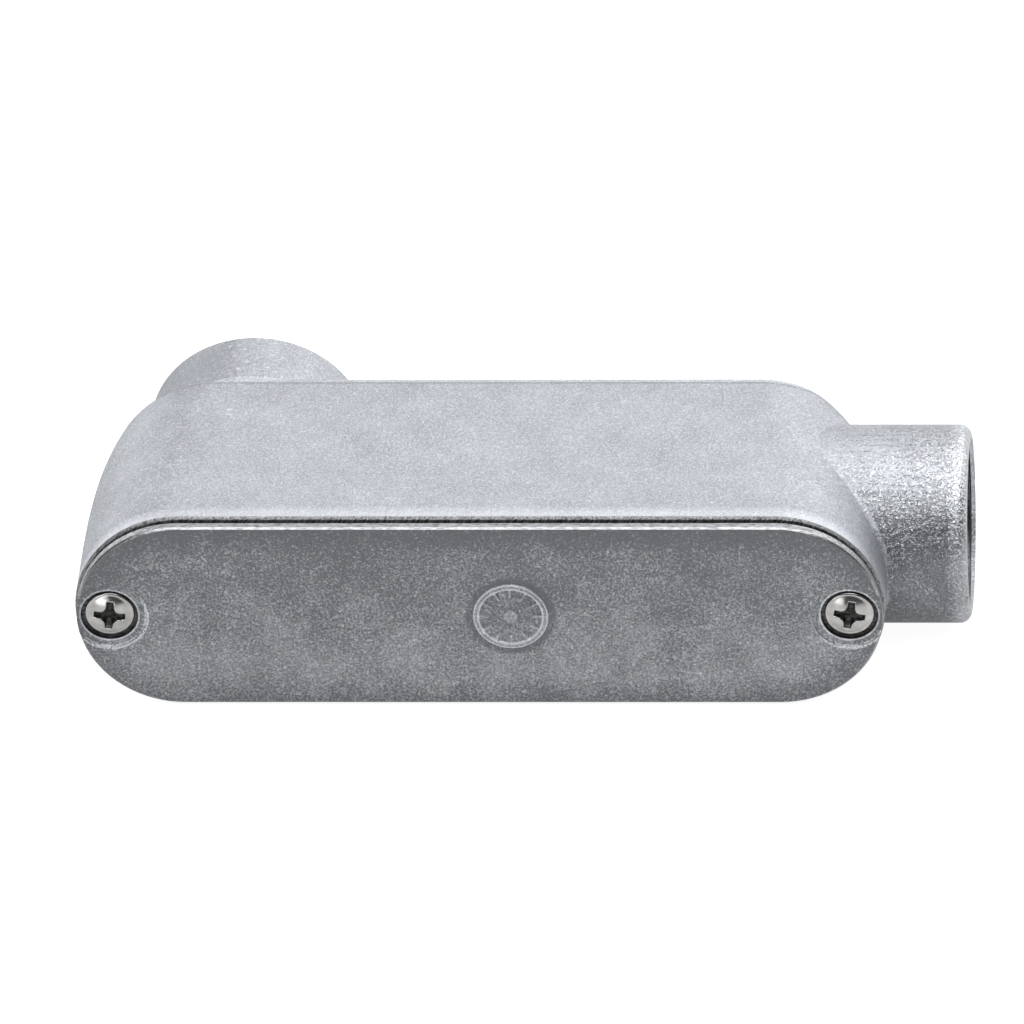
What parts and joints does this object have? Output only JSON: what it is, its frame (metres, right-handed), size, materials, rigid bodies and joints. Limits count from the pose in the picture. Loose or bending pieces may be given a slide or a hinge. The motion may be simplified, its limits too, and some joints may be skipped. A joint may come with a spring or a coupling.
{
  "type": "conduit body",
  "caption": "Cast right-angle conduit body with a threaded hub at one end, another at the back, and a gasketed cover held on by screws.",
  "frame": {"origin": "on the end hub's axis, where its full bore starts, 0.8 mm inside the mouth", "axes": "+X out of the end hub, +Y out of the back hub, away from the cover, +Z across the body; it lies on its long side"},
  "size_m": [0.1773, 0.0688, 0.0436],
  "materials": {
    "casting": "as-cast, tumbled",
    "cover_casting": "as-cast, tumbled",
    "screw_steel": "plated",
    "gasket_rubber": "matt"
  },
  "bodies": {
    "root": {"body": "casting", "cover": "cover_casting", "gasket": "gasket_rubber", "left_cover_screw": "screw_steel", "right_cover_screw": "screw_steel"}
  },
  "joints": []
}
